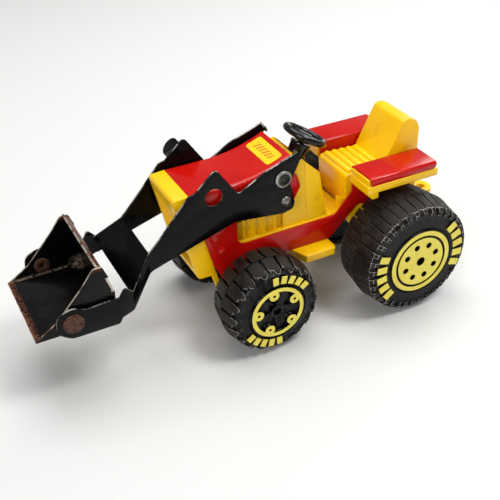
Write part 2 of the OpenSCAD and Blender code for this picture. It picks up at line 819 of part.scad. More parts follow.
module front_wheel_right() {
    right_side() front_wheel();
}

module front_foil_left() {
    front_foil();
}

module front_foil_right() {
    right_side() front_foil();
}

module front_axle() {
    color(steel) rod(front_axle_at, axle_r, -front_face_y + 3, front_face_y - 3);
}

module rear_axle() {
    color(steel) rod(rear_axle_at, axle_r, -rear_face_y + 3, rear_face_y - 3);
}

hood_frame();
nose_grille();
engine_block();
cab_floor();
step_pan();
dash();
seat();
rear_body();
fender_left();
fender_right();
drawbar();
hood_decal();
steering_column();
steering_wheel();
lift_rivet_left();
lift_rivet_right();
lift_washers();
loader_arms();
detent_pips();
bucket_tray();
bucket_back();
bucket_rivets();
bucket_washers();
front_axle();
front_wheel_left();
front_wheel_right();
front_foil_left();
front_foil_right();
rear_axle();
rear_wheel_left();
rear_wheel_right();
rear_foil_left();
rear_foil_right();
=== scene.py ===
# %% [markdown]
# # A toy wheel loader
# This lesson dresses a small pressed-steel and plastic loader toy. The frame that is loaded first
# holds every part at its real size and place: a folded red hood, yellow mouldings, a black loader
# and four moulded wheels. The work here is what such a toy looks like after years of play, so most
# of it is finishing: soft edges, cut treads, paint, wear, dust and light. Forward is -X.

# %% Load the frame
import json
import math

import bmesh
import bpy
from mathutils import Matrix, Vector


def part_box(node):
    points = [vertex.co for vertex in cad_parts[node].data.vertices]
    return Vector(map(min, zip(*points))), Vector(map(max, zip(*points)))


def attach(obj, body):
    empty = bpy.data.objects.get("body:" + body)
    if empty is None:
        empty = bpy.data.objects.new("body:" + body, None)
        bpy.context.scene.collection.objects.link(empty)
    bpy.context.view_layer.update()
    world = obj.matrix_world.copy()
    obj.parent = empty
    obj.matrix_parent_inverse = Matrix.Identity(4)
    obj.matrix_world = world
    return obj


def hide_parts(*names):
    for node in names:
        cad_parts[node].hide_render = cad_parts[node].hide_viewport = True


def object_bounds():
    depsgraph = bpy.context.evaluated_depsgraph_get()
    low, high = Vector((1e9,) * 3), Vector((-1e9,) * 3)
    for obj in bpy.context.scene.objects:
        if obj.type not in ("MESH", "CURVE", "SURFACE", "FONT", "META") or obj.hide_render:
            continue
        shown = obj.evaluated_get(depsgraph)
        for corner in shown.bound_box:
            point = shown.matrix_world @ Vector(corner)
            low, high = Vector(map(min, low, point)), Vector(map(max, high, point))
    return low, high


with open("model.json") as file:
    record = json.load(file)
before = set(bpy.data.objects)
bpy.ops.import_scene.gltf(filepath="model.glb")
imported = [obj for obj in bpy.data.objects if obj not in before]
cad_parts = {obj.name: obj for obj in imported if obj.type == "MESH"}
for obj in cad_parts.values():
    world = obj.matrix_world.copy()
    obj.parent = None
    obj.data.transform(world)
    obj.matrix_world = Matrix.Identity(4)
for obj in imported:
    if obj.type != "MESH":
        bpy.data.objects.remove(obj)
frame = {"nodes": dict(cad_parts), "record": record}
cad_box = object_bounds()
nodes = frame["nodes"]
body_of_node = {
    node: body for body, members in frame["record"]["behaviour"]["bodies"].items() for node in members
}
MM = 0.001
print("parts in the frame:", len(nodes))

# %% [markdown]
# ## Nodes, colours and patterns
# Every finish below is a small shader tree. One function adds a node, sets what it is told and
# joins its inputs, so a tree reads from top to bottom. Colours are written as the hex values that
# a paint chart would give, and are turned to linear light once. Patterns read Object coordinates,
# which are metres on every piece here, so a pattern's size can be stated in millimetres.

# %% Helpers for materials
def linear(hex_colour):
    """Turns "#RRGGBB" into the linear colour that a shader wants."""
    values = [int(hex_colour[i:i + 2], 16) / 255 for i in (1, 3, 5)]
    return [v / 12.92 if v <= 0.04045 else ((v + 0.055) / 1.055) ** 2.4 for v in values] + [1.0]


def add(tree, kind, inputs=None, **settings):
    """Adds one node, with its settings, its input values and its links."""
    made = tree.nodes.new(kind)
    for name, value in settings.items():
        setattr(made, name, value)
    for name, value in (inputs or {}).items():
        if isinstance(value, bpy.types.NodeSocket):
            tree.links.new(value, made.inputs[name])
        else:
            made.inputs[name].default_value = value
    return made


def start_material(name, **surface):
    """A Principled material, its tree and its shader, with plain values on the shader's sockets."""
    material = bpy.data.materials.new(name)
    material.use_nodes = True
    tree = material.node_tree
    tree.nodes.clear()
    shader = add(tree, "ShaderNodeBsdfPrincipled", surface)
    output = add(tree, "ShaderNodeOutputMaterial")
    tree.links.new(shader.outputs["BSDF"], output.inputs["Surface"])
    return material, tree, shader


def patches(tree, size_mm, low, high, detail=4.0, seed=0.0, stretch=(1, 1, 1)):
    """Noise of a real size, cut to a mask that runs from 0 at low to 1 at high."""
    where = add(tree, "ShaderNodeTexCoord")
    placed = add(tree, "ShaderNodeMapping", {
        "Vector": where.outputs["Object"], "Location": (seed, seed * 0.7, seed * 0.4), "Scale": stretch,
    })
    noise = add(tree, "ShaderNodeTexNoise", {
        "Vector": placed.outputs["Vector"], "Scale": 1 / (size_mm * MM), "Detail": detail, "Roughness": 0.6,
    })
    mask = add(tree, "ShaderNodeMapRange", {
        "Value": noise.outputs["Fac"], "From Min": low, "From Max": high,
    }, interpolation_type="SMOOTHSTEP")
    return mask.outputs["Result"]


def blend_colours(tree, mask, below, above):
    """Mixes two colours by a mask. Either may be a plain colour or another node's output."""
    mix = add(tree, "ShaderNodeMix", {"Factor": mask}, data_type="RGBA")
    rgba = [s for s in mix.inputs if s.type == "RGBA"]
    for socket, value in zip(rgba, (below, above)):
        if isinstance(value, bpy.types.NodeSocket):
            tree.links.new(value, socket)
        else:
            socket.default_value = value
    return next(s for s in mix.outputs if s.type == "RGBA")


def roughen(tree, shader, mask, smooth, rough):
    """Lets a mask take the roughness from smooth to rough."""
    spread = add(tree, "ShaderNodeMapRange", {"Value": mask, "To Min": smooth, "To Max": rough})
    tree.links.new(spread.outputs["Result"], shader.inputs["Roughness"])


def emboss(tree, shader, height, depth_mm):
    """Bumps the surface by a height mask of a real depth."""
    bump = add(tree, "ShaderNodeBump", {"Height": height, "Strength": 1.0, "Distance": depth_mm * MM})
    tree.links.new(bump.outputs["Normal"], shader.inputs["Normal"])


def point_on(tree):
    """The X, Y and Z of each point of a piece, in metres."""
    where = add(tree, "ShaderNodeTexCoord")
    return add(tree, "ShaderNodeSeparateXYZ", {"Vector": where.outputs["Object"]}).outputs


def near_place(tree, point, place_mm, reach_mm):
    """A mask that is 1 at a place, the same on both sides of the toy, and 0 beyond a reach."""
    across = add(tree, "ShaderNodeMath", {0: point["Y"]}, operation="ABSOLUTE")
    folded = add(tree, "ShaderNodeCombineXYZ", {
        "X": point["X"], "Y": across.outputs["Value"], "Z": point["Z"],
    })
    away = add(tree, "ShaderNodeVectorMath", {
        0: folded.outputs["Vector"], 1: tuple(v * MM for v in place_mm),
    }, operation="DISTANCE")
    mask = add(tree, "ShaderNodeMapRange", {
        "Value": away.outputs["Value"], "From Min": reach_mm * MM, "From Max": 0.3 * reach_mm * MM,
    })
    return mask.outputs["Result"]


def near_any(tree, places):
    """The strongest of several near_place masks, each given as (place in mm, reach in mm)."""
    point = point_on(tree)
    strongest = None
    for place_mm, reach_mm in places:
        mask = near_place(tree, point, place_mm, reach_mm)
        if strongest is not None:
            mask = add(tree, "ShaderNodeMath", {0: strongest, 1: mask}, operation="MAXIMUM").outputs["Value"]
        strongest = mask
    return strongest


# %% [markdown]
# ## Red enamel
# The hood is folded sheet steel, sprayed with a solvent enamel and stoved. Such paint is a smooth
# dielectric with a hard gloss, a very faint orange peel, and on an old toy a few pale nicks that
# go through to the primer. A coat would double the highlight, so one gloss layer is enough. Its IOR
# is set well under a real enamel's 1.5, because the pale floor's reflection would veil the red.

# %% Red enamel
def red_enamel():
    material, tree, shader = start_material("red stoving enamel", **{"IOR": 1.38})
    fade = patches(tree, 22, 0.3, 0.75, seed=3.1)
    colour = blend_colours(tree, fade, linear("#B30B06"), linear("#BE150A"))
    nicks = patches(tree, 1.8, 0.79, 0.81, detail=2.0, seed=7.7)
    colour = blend_colours(tree, nicks, colour, linear("#D8B7A8"))
    # the two pressed dimples and the front fold are where the paint has chipped through
    struck = near_any(tree, [((-21.6, 16, 54), 2.6), ((-19, 16, 46.5), 2.6), ((-25, 15, 50), 4.5)])
    chips = patches(tree, 0.8, 0.54, 0.62, detail=3.0, seed=5.8)
    chipped = add(tree, "ShaderNodeMath", {0: struck, 1: chips}, operation="MULTIPLY")
    colour = blend_colours(tree, chipped.outputs["Value"], colour, linear("#6B3F34"))
    tree.links.new(colour, shader.inputs["Base Color"])
    roughen(tree, shader, patches(tree, 6, 0.35, 0.8, seed=1.3), 0.14, 0.26)
    emboss(tree, shader, patches(tree, 1.6, 0.2, 0.8, detail=1.0, seed=2.2), 0.012)
    return material


# %% [markdown]
# ## Yellow mouldings
# The nose, dash, seat and mudguards are injection-moulded ABS, coloured right through. The mould
# was lightly polished, so the skin is a soft gloss. The colour drifts a little between two yellows,
# and handling leaves faint brown grime in patches.

# %% Moulded ABS
def yellow_abs():
    material, tree, shader = start_material("yellow moulded ABS", **{
        "IOR": 1.44, "Subsurface Weight": 0.04, "Subsurface Radius": (0.001, 0.0008, 0.0003),
    })
    warm = patches(tree, 26, 0.3, 0.75, seed=5.0)
    colour = blend_colours(tree, warm, linear("#FAC800"), linear("#F5BC00"))
    grime = patches(tree, 7, 0.64, 0.84, detail=7.0, seed=9.4)
    colour = blend_colours(tree, grime, colour, linear("#D08A0A"))
    # painted shade: the side window's corners and the foot of the seat are darkened to brown, broken up by
    # noise
    corners = near_any(tree, [((-7, 13, 56), 8), ((-6.5, 14, 49), 5), ((13, 14, 49.5), 5), ((40, 8, 56), 13)])
    shade_breakup = patches(tree, 3.0, 0.42, 0.8, detail=7.0, seed=0.9)
    corner_shade = add(tree, "ShaderNodeMath", {0: corners, 1: shade_breakup}, operation="MULTIPLY")
    colour = blend_colours(tree, corner_shade.outputs["Value"], colour, linear("#8C4A0E"))
    tree.links.new(colour, shader.inputs["Base Color"])
    roughen(tree, shader, patches(tree, 4, 0.3, 0.8, seed=6.1), 0.27, 0.42)
    emboss(tree, shader, patches(tree, 0.9, 0.2, 0.8, detail=2.0, seed=4.2), 0.008)
    return material


# %% [markdown]
# ## Black enamel, dust and rust
# The loader is black enamel on bare steel. Its faces stay glossy, with grey dust and fine rubbed
# scratches, while the cut edges of the sheet are worn to bright steel. The bucket digs, so its lip
# and top edge are brown with rust and its creases are rubbed bare. Rust is kept to its places by
# distance along the bucket and by noise, so that it reads as wear and not as camouflage. As on the
# red, the IOR is set low so that the black stays black above a pale floor.

# %% Black enamel
def black_enamel():
    material, tree, shader = start_material("black stoving enamel", **{"IOR": 1.25})
    dust = patches(tree, 9, 0.5, 0.9, detail=6.0, seed=2.6)
    colour = blend_colours(tree, dust, linear("#030303"), linear("#0E0D0C"))
    rubs = patches(tree, 0.8, 0.74, 0.78, detail=3.0, seed=8.8, stretch=(0.15, 1, 1))
    colour = blend_colours(tree, rubs, colour, linear("#3B3935"))
    tree.links.new(colour, shader.inputs["Base Color"])
    roughen(tree, shader, patches(tree, 3, 0.3, 0.85, detail=5.0, seed=0.7), 0.16, 0.34)
    emboss(tree, shader, patches(tree, 2.2, 0.2, 0.8, detail=2.0, seed=3.3), 0.012)
    return material


def digging_enamel():
    """Black enamel on the bucket, with rust at its lip and top and bare metal in its creases."""
    material, tree, shader = start_material("black enamel, rusting", **{"IOR": 1.27})
    low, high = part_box("bucket_tray")
    point = point_on(tree)
    dust = patches(tree, 8, 0.45, 0.85, detail=7.0, seed=2.1)
    colour = blend_colours(tree, dust, linear("#060606"), linear("#1B1713"))
    specks = patches(tree, 2.2, 0.66, 0.72, detail=8.0, seed=1.9)
    colour = blend_colours(tree, specks, colour, linear("#3B2217"))
    lip = add(tree, "ShaderNodeMapRange", {
        "Value": point["X"], "From Min": low.x + 3.4 * MM, "From Max": low.x + 0.4 * MM,
    })
    top = add(tree, "ShaderNodeMapRange", {
        "Value": point["Z"], "From Min": high.z - 2.2 * MM, "From Max": high.z - 0.2 * MM,
    })
    ends = add(tree, "ShaderNodeMath", {
        0: lip.outputs["Result"], 1: top.outputs["Result"],
    }, operation="MAXIMUM")
    runs = patches(tree, 1.8, 0.35, 0.6, detail=8.0, seed=4.1)
    rusty = add(tree, "ShaderNodeMath", {0: ends.outputs["Value"], 1: runs}, operation="MULTIPLY")
    colour = blend_colours(tree, rusty.outputs["Value"], colour, linear("#6B3A22"))
    hollow = add(tree, "ShaderNodeAmbientOcclusion", {"Distance": 2.2 * MM}, samples=8, only_local=True)
    crease = add(tree, "ShaderNodeMapRange", {
        "Value": hollow.outputs["AO"], "From Min": 0.82, "From Max": 0.6,
    })
    corner = near_place(tree, point, (-77, 23, 37), 5.5)
    worn = add(tree, "ShaderNodeMath", {0: crease.outputs["Result"], 1: corner}, operation="MAXIMUM")
    scraped = patches(tree, 1.6, 0.4, 0.55, detail=8.0, seed=6.4)
    bare = add(tree, "ShaderNodeMath", {0: worn.outputs["Value"], 1: scraped}, operation="MULTIPLY")
    colour = blend_colours(tree, bare.outputs["Value"], colour, linear("#8C7A69"))
    tree.links.new(colour, shader.inputs["Base Color"])
    dull = add(tree, "ShaderNodeMath", {
        0: bare.outputs["Value"], 1: rusty.outputs["Value"],
    }, operation="MAXIMUM")
    roughen(tree, shader, dull.outputs["Value"], 0.2, 0.6)
    emboss(tree, shader, patches(tree, 1.4, 0.2, 0.8, detail=5.0, seed=3.3), 0.03)
    return material


def worn_edge(name, paint, bare, low, high, size_mm=3, shine=0.7):
    """A narrow rim, rubbed through to what is under it in runs. Shine is how metallic that is."""
    material, tree, shader = start_material(name, **{"Roughness": 0.38})
    rubbed = patches(tree, size_mm, low, high, detail=5.0, seed=4.8)
    colour = blend_colours(tree, rubbed, linear(paint), linear(bare))
    tree.links.new(colour, shader.inputs["Base Color"])
    if shine:
        metal = add(tree, "ShaderNodeMath", {0: rubbed, 1: shine}, operation="MULTIPLY")
        tree.links.new(metal.outputs["Value"], shader.inputs["Metallic"])
    return material


# %% [markdown]
# ## Wheels and small parts
# The wheels are blow-moulded black polyethylene: a waxy, half-matt plastic that scuffs grey and
# holds brown dust in its treads. Its IOR is set low too, as on the enamels. The yellow faces are
# hot-stamped foil, rubbed off in specks. The steering wheel is polished black plastic, and the
# rivets are plated or rusted steel.

# %% Plastics, foil and rivet steel
def wheel_plastic():
    material, tree, shader = start_material("black blow-moulded polyethylene", **{"IOR": 1.3})
    dust = patches(tree, 7, 0.45, 0.8, detail=7.0, seed=6.6)
    colour = blend_colours(tree, dust, linear("#050505"), linear("#100F0E"))
    scuffs = patches(tree, 0.9, 0.72, 0.78, detail=4.0, seed=5.5)
    colour = blend_colours(tree, scuffs, colour, linear("#4A4642"))
    tree.links.new(colour, shader.inputs["Base Color"])
    roughen(tree, shader, dust, 0.3, 0.5)
    emboss(tree, shader, patches(tree, 0.7, 0.2, 0.8, detail=3.0, seed=1.1), 0.012)
    return material


def dusty_tread():
    material, tree, shader = start_material("black polyethylene, dusty", **{"IOR": 1.32})
    dust = patches(tree, 6, 0.3, 0.7, detail=8.0, seed=6.1)
    colour = blend_colours(tree, dust, linear("#0E0C0B"), linear("#271F1A"))
    specks = patches(tree, 0.8, 0.7, 0.76, detail=4.0, seed=3.5)
    colour = blend_colours(tree, specks, colour, linear("#6E6359"))
    tree.links.new(colour, shader.inputs["Base Color"])
    roughen(tree, shader, dust, 0.42, 0.65)
    emboss(tree, shader, patches(tree, 0.5, 0.2, 0.8, detail=4.0, seed=1.9), 0.03)
    return material


def scuffed_corner(name, shoulder_mm):
    """The corners of the tread's blocks: rubbed pale past the shoulder, and only faintly inside it."""
    material, tree, shader = start_material(name, **{"IOR": 1.51, "Roughness": 0.5})
    point = point_on(tree)
    out = add(tree, "ShaderNodeMath", {0: point["Y"]}, operation="ABSOLUTE")
    beyond = add(tree, "ShaderNodeMapRange", {
        "Value": out.outputs["Value"], "From Min": (shoulder_mm - 1.5) * MM, "From Max": shoulder_mm * MM,
        "To Min": 0.12, "To Max": 1.0,
    })
    runs = patches(tree, 2.4, 0.4, 0.5, detail=4.0, seed=7.2)
    mask = add(tree, "ShaderNodeMath", {0: beyond.outputs["Result"], 1: runs}, operation="MULTIPLY")
    colour = blend_colours(tree, mask.outputs["Value"], linear("#1D1916"), linear("#CFCBC6"))
    tree.links.new(colour, shader.inputs["Base Color"])
    return material


def stamped_foil():
    material, tree, shader = start_material("yellow hot-stamped foil", **{"IOR": 1.45})
    tone = patches(tree, 8, 0.3, 0.8, seed=4.0)
    colour = blend_colours(tree, tone, linear("#EADB58"), linear("#E2CE50"))
    rubbed = patches(tree, 1.1, 0.68, 0.73, detail=6.0, seed=3.7)
    colour = blend_colours(tree, rubbed, colour, linear("#4A4320"))
    tree.links.new(colour, shader.inputs["Base Color"])
    roughen(tree, shader, tone, 0.38, 0.55)
    emboss(tree, shader, patches(tree, 0.6, 0.2, 0.8, detail=2.0, seed=2.0), 0.01)
    return material


def polished_black():
    material, tree, shader = start_material("polished black styrene", **{"IOR": 1.45})
    haze = patches(tree, 3, 0.3, 0.8, detail=4.0, seed=8.1)
    colour = blend_colours(tree, haze, linear("#060607"), linear("#0E0E0F"))
    tree.links.new(colour, shader.inputs["Base Color"])
    roughen(tree, shader, haze, 0.12, 0.26)
    return material


def rivet_steel(name, clean, stain, metallic, smooth, rough, seed):
    material, tree, shader = start_material(name, **{"Metallic": metallic})
    stains = patches(tree, 2.2, 0.4, 0.65, detail=7.0, seed=seed)
    colour = blend_colours(tree, stains, linear(clean), linear(stain))
    tree.links.new(colour, shader.inputs["Base Color"])
    roughen(tree, shader, stains, smooth, rough)
    emboss(tree, shader, patches(tree, 0.7, 0.3, 0.7, detail=4.0, seed=seed + 1), 0.03)
    return material


def rolled_head():
    """A tubular rivet's head: a bright rolled rim round a dark, scratched middle."""
    material, tree, shader = start_material("plated rivet steel, rolled head", **{"Metallic": 0.9})
    low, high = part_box("lift_rivet_left")
    where = add(tree, "ShaderNodeTexCoord")
    flat = add(tree, "ShaderNodeVectorMath", {0: where.outputs["Object"], 1: (1, 0, 1)}, operation="MULTIPLY")
    centre = ((low.x + high.x) / 2, 0, (low.z + high.z) / 2)
    away = add(tree, "ShaderNodeVectorMath", {0: flat.outputs["Vector"], 1: centre}, operation="DISTANCE")
    rim = add(tree, "ShaderNodeMapRange", {
        "Value": away.outputs["Value"], "From Min": 2.9 * MM, "From Max": 3.4 * MM,
    })
    scratches = patches(tree, 1.6, 0.4, 0.65, detail=7.0, seed=1.5)
    face = blend_colours(tree, scratches, linear("#4E4D4A"), linear("#22211F"))
    colour = blend_colours(tree, rim.outputs["Result"], face, linear("#A6A39B"))
    tree.links.new(colour, shader.inputs["Base Color"])
    roughen(tree, shader, scratches, 0.28, 0.45)
    emboss(tree, shader, rim.outputs["Result"], 0.15)
    return material


# %% [markdown]
# ## The hood label
# A printed vinyl label sits across the rear of the hood: yellow, with a row of slanted bars where
# a maker would put a name. The bars are a rule, not a picture: a saw-tooth across the label is cut
# in two, and kept inside a middle band.

# %% Printed vinyl
def printed_label():
    material, tree, shader = start_material("yellow printed vinyl", **{"IOR": 1.46, "Roughness": 0.3})
    low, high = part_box("hood_decal")
    middle = (low + high) / 2
    bars = 6
    pitch = 2.6 * MM
    slant = 0.5
    point = point_on(tree)
    along = add(tree, "ShaderNodeMath", {0: point["X"], 1: middle.x}, operation="SUBTRACT")
    across = add(tree, "ShaderNodeMath", {0: point["Y"], 1: middle.y}, operation="SUBTRACT")
    leaning = add(tree, "ShaderNodeMath", {
        0: along.outputs["Value"], 1: slant, 2: across.outputs["Value"],
    }, operation="MULTIPLY_ADD")
    saw = add(tree, "ShaderNodeMath", {0: leaning.outputs["Value"], 1: pitch}, operation="DIVIDE")
    tooth = add(tree, "ShaderNodeMath", {0: saw.outputs["Value"]}, operation="FRACT")
    bar = add(tree, "ShaderNodeMath", {0: tooth.outputs["Value"], 1: 0.55}, operation="LESS_THAN")
    off_along = add(tree, "ShaderNodeMath", {0: along.outputs["Value"]}, operation="ABSOLUTE")
    off_across = add(tree, "ShaderNodeMath", {0: across.outputs["Value"]}, operation="ABSOLUTE")
    in_band = add(tree, "ShaderNodeMath", {0: off_along.outputs["Value"], 1: 1.7 * MM}, operation="LESS_THAN")
    in_row = add(tree, "ShaderNodeMath", {
        0: off_across.outputs["Value"], 1: pitch * bars / 2,
    }, operation="LESS_THAN")
    both = add(tree, "ShaderNodeMath", {0: in_band.outputs["Value"], 1: in_row.outputs["Value"]},
               operation="MULTIPLY")
    ink = add(tree, "ShaderNodeMath", {0: both.outputs["Value"], 1: bar.outputs["Value"]},
              operation="MULTIPLY")
    paper = blend_colours(tree, patches(tree, 6, 0.3, 0.8, seed=2.9), linear("#F8CB06"), linear("#F0BC04"))
    colour = blend_colours(tree, ink.outputs["Value"], paper, linear("#D07A08"))
    tree.links.new(colour, shader.inputs["Base Color"])
    return material


# %% Make the finishes
RED = red_enamel()
YELLOW = yellow_abs()
BLACK = black_enamel()
BUCKET_BLACK = digging_enamel()
RED_RIM = worn_edge("red enamel edge, chipped", "#8E0E08", "#D9A08C", 0.62, 0.72)
BLACK_RIM = worn_edge("black enamel edge, rubbed bright", "#0A0909", "#C4BDB2", 0.44, 0.58, size_mm=6)
BUCKET_RIM = worn_edge("black enamel edge, rusted", "#4A2C1E", "#C9BBAA", 0.42, 0.56, size_mm=5)
RIDGE = worn_edge("polyethylene ridge, rubbed", "#2A2520", "#9C9186", 0.42, 0.6, shine=0)
TYRE = wheel_plastic()
TREAD = dusty_tread()
REAR_SCUFFS = scuffed_corner("polyethylene corners, rubbed pale, rear", 44.5)
FRONT_SCUFFS = scuffed_corner("polyethylene corners, rubbed pale, front", 38.0)
FOIL = stamped_foil()
GLOSS_BLACK = polished_black()
PLATED = rivet_steel("plated rivet steel, scratched", "#8F8D88", "#4B4843", 0.9, 0.3, 0.5, 1.5)
ROLLED = rolled_head()
RUSTED = rivet_steel("rusted rivet steel", "#5C3B2A", "#33211A", 0.45, 0.5, 0.75, 6.0)
LABEL = printed_label()
print("finishes:", len(bpy.data.materials))

# %% [markdown]
# ## Softening the hard parts
# A part from the frame has knife edges, and real sheet and mouldings never do. Each part is
# copied, its loose triangles are welded and its flat faces joined, and a narrow Bevel rounds what
# is sharp. The new rim can carry its own material, which is how worn paint stays on the edges.
# The copy then stands for the part and rides on the same body.

# %% Softening
def put_in(name, data):
    """A new object for a mesh, a light or a camera, in the scene."""
    piece = bpy.data.objects.new(name, data)
    bpy.context.scene.collection.objects.link(piece)
    return piece


def bevel_edges(piece, width_mm, angle_deg, segments=2, rim_slot=-1):
    """Adds a bevel to edges sharper than an angle. Slot -1 leaves the new faces as their neighbours."""
    bevel = piece.modifiers.new("soft edges", "BEVEL")
    bevel.width = width_mm * MM
    bevel.segments = segments
    bevel.limit_method = "ANGLE"
    bevel.angle_limit = math.radians(angle_deg)
    bevel.material = rim_slot


def welded(node):
    """A clean copy of a frame part's mesh: doubles merged and flat faces joined."""
    mesh = bpy.data.meshes.new(node + "_soft")
    work = bmesh.new()
    work.from_mesh(nodes[node].data)
    bmesh.ops.remove_doubles(work, verts=work.verts, dist=0.002 * MM)
    bmesh.ops.dissolve_degenerate(work, edges=work.edges, dist=0.002 * MM)
    bmesh.ops.dissolve_limit(work, angle_limit=math.radians(0.6), verts=work.verts, edges=work.edges)
    work.to_mesh(mesh)
    work.free()
    return put_in(node + "_soft", mesh)


def settle(piece):
    """Applies a piece's modifiers, so that its mesh is plain."""
    bpy.context.view_layer.update()
    evaluated = piece.evaluated_get(bpy.context.evaluated_depsgraph_get())
    plain = bpy.data.meshes.new_from_object(evaluated)
    piece.modifiers.clear()
    piece.data = plain


def smooth_faces(piece, angle_deg=35):
    piece.data.shade_smooth()
    piece.data.set_sharp_from_angle(angle=math.radians(angle_deg))


def soften(node, material, rim=None, width_mm=0.2, segments=2, angle_deg=40, cut_mm=0, prepare=None):
    """Replaces a frame part by its softened copy. A face narrower than cut_mm is a cut edge."""
    piece = welded(node)
    if prepare:
        prepare(piece)
    piece.data.materials.clear()
    piece.data.materials.append(material)
    piece.data.materials.append(rim or material)
    place_of = [vertex.co for vertex in piece.data.vertices]
    for face in piece.data.polygons:
        around = sum((place_of[a] - place_of[b]).length for a, b in face.edge_keys)
        if 2 * face.area < cut_mm * MM * around:
            face.material_index = 1
    bevel_edges(piece, width_mm, angle_deg, segments, rim_slot=1)
    settle(piece)
    smooth_faces(piece)
    take_over(piece, node)


def take_over(piece, node):
    """Lets a piece stand for a frame part, on the part's own body."""
    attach(piece, body_of_node[node])
    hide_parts(node)
    print(f"{piece.name}: {len(piece.data.polygons)} faces")

# %% [markdown]
# ## Sheet metal, mouldings and rivets
# Sheet edges are rounded by a tenth or two of a millimetre, as sheared and painted steel is.
# Mouldings have fuller edges, about half a millimetre. The side outlines of the seat's backrest are
# the fullest, and are rounded by a bevel of their own before the rest.

# %% The seat's full edges
def round_backrest(piece, radius_mm=2.0):
    """Rounds the side outlines of the seat's backrest, from the cushion up."""
    low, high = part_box("seat")
    cushion_top = low.z + 0.52 * (high.z - low.z)

    def on_side(vert):
        return min(abs(vert.co.y - low.y), abs(vert.co.y - high.y)) < 0.05 * MM and vert.co.z > cushion_top

    work = bmesh.new()
    work.from_mesh(piece.data)
    at_side = [
        edge for edge in work.edges
        if all(on_side(vert) for vert in edge.verts)
        and len(edge.link_faces) == 2 and edge.calc_face_angle() > math.radians(60)
    ]
    bmesh.ops.bevel(work, geom=at_side, offset=radius_mm * MM, segments=5, profile=0.5, affect="EDGES",
                    clamp_overlap=True)
    print("seat outline edges rounded:", len(at_side))
    work.to_mesh(piece.data)
    work.free()


# %% Dress the parts
soften("hood_frame", RED, RED_RIM, width_mm=0.16)
soften("loader_arms", BLACK, BLACK_RIM, width_mm=0.14, cut_mm=0.95)
soften("bucket_tray", BUCKET_BLACK, BUCKET_RIM, width_mm=0.16, cut_mm=0.95)
soften("bucket_back", BUCKET_BLACK, BUCKET_RIM, width_mm=0.16, cut_mm=0.95)
for name, width in {
    "nose_grille": 0.35, "engine_block": 0.4, "cab_floor": 0.3, "step_pan": 0.5, "dash": 0.4,
    "rear_body": 0.5, "fender_left": 0.6, "fender_right": 0.6, "drawbar": 0.4,
}.items():
    soften(name, YELLOW, width_mm=width, segments=3)
soften("seat", YELLOW, width_mm=0.45, segments=3, angle_deg=25, prepare=round_backrest)
for name in ("steering_column", "steering_wheel"):
    soften(name, GLOSS_BLACK, width_mm=0.3)
for name in ("lift_rivet_left", "lift_rivet_right"):
    soften(name, ROLLED, width_mm=0.12)
for name in ("lift_washers", "detent_pips", "bucket_washers"):
    soften(name, PLATED, width_mm=0.12)
soften("bucket_rivets", RUSTED, width_mm=0.15)
for name, finish in {
    "hood_decal": LABEL, "front_axle": PLATED, "rear_axle": PLATED,
    "front_foil_left": FOIL, "front_foil_right": FOIL, "rear_foil_left": FOIL, "rear_foil_right": FOIL,
}.items():
    nodes[name].data.materials.clear()
    nodes[name].data.materials.append(finish)

# %% [markdown]
# ## Treads
# A wheel like this is blown in a two-part mould, which leaves a thin ridge round the middle of the
# tread and a row of blocks on each side of it, staggered by half a pitch. The wheel from the frame
# has the right outline, so a copy is drawn in a little over the tread, and blocks are laid on it up
# to that outline. One cell of tread, an outer and an inner block, is modelled on the curve of the
# tyre. Geometry Nodes then repeat the cell round the axle, which keeps the pitch exact.

# %% A ring of copies round an axle
def ring_tree():
    """Geometry nodes that repeat the incoming piece round a level axle, at even angles."""
    tree = bpy.data.node_groups.new("ring_round_an_axle", "GeometryNodeTree")
    keys = {}
    kinds = {"Geometry": "Geometry", "Count": "Int", "Axle": "Vector", "Finish": "Material"}
    for name, kind in kinds.items():
        socket = tree.interface.new_socket(name, in_out="INPUT", socket_type="NodeSocket" + kind)
        keys[name] = socket.identifier
    tree.interface.new_socket("Geometry", in_out="OUTPUT", socket_type="NodeSocketGeometry")
    given = add(tree, "NodeGroupInput").outputs
    points = add(tree, "GeometryNodePoints", {"Count": given["Count"], "Position": given["Axle"]})
    index = add(tree, "GeometryNodeInputIndex")
    share = add(tree, "ShaderNodeMath", {0: index.outputs["Index"], 1: given["Count"]}, operation="DIVIDE")
    angle = add(tree, "ShaderNodeMath", {0: share.outputs["Value"], 1: math.tau}, operation="MULTIPLY")
    euler = add(tree, "ShaderNodeCombineXYZ", {"Y": angle.outputs["Value"]})
    turn = add(tree, "FunctionNodeEulerToRotation", {"Euler": euler.outputs["Vector"]})
    copies = add(tree, "GeometryNodeInstanceOnPoints", {
        "Points": points.outputs[0], "Instance": given["Geometry"], "Rotation": turn.outputs["Rotation"],
    })
    real = add(tree, "GeometryNodeRealizeInstances", {"Geometry": copies.outputs["Instances"]})
    which = add(tree, "GeometryNodeInputMaterialIndex")
    body = add(tree, "ShaderNodeMath", {0: which.outputs["Material Index"], 1: 0.5}, operation="LESS_THAN")
    dressed = add(tree, "GeometryNodeSetMaterial", {
        "Geometry": real.outputs["Geometry"], "Selection": body.outputs["Value"], "Material": given["Finish"],
    })
    result = add(tree, "NodeGroupOutput")
    tree.links.new(dressed.outputs["Geometry"], result.inputs["Geometry"])
    return tree, keys


RING_TREE, RING_KEYS = ring_tree()
print("inputs of the ring:", list(RING_KEYS))


# %% One block of tread
BEND_LINES = (-9, -6, -3, 3, 6, 9, 10.5, 12)    # mm from the ridge, where a block can bend


